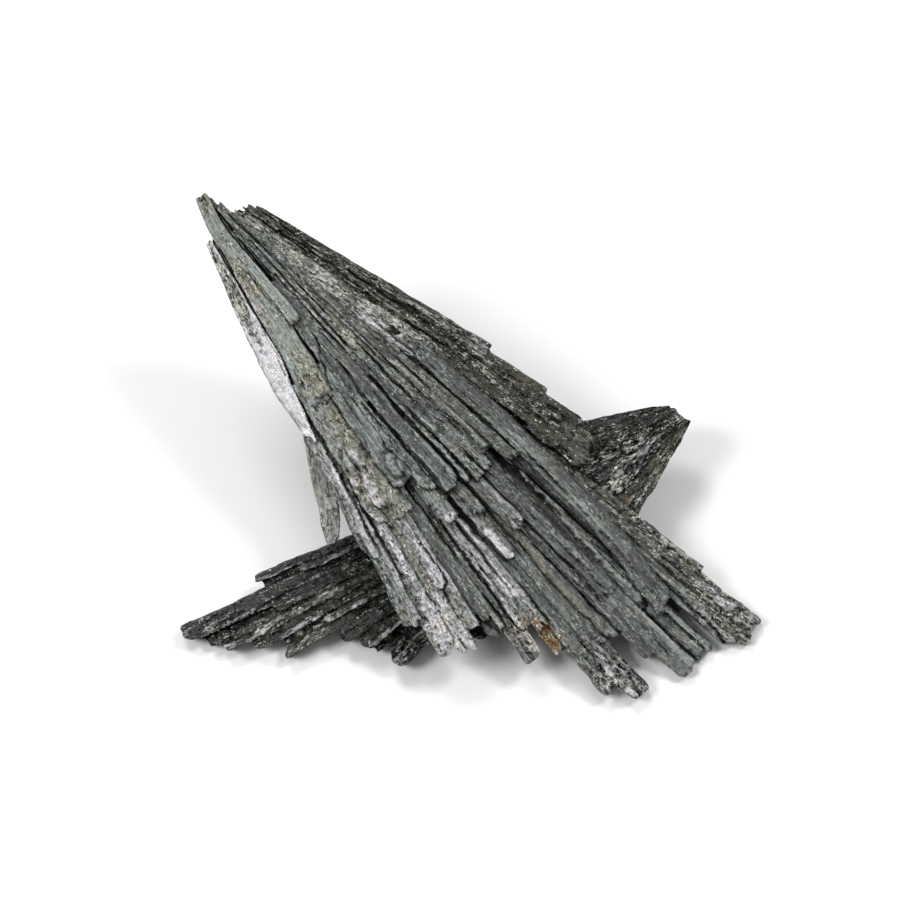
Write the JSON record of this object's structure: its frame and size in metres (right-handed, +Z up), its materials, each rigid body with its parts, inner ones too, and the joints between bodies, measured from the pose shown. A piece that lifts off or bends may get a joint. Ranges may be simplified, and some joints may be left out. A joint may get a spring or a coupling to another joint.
{
  "type": "black kyanite fan",
  "caption": "Mineral specimen: a leaning fan of flat black kyanite blades crossed underneath by a smaller, darker fan; a natural display piece that rests on its blade ends.",
  "frame": {"origin": "centre of the specimen's footprint, on the surface that it rests on", "axes": "+X along the specimen's longest side, from the big fan's point towards its broom; +Y to the back; +Z up"},
  "size_m": [0.07, 0.0602, 0.0268],
  "materials": {
    "black_kyanite": "dark slate grey bladed crystal with a silvery, part dull, part glittering lustre"
  },
  "bodies": {
    "root": {"kyanite_fan": "black_kyanite"}
  },
  "joints": []
}
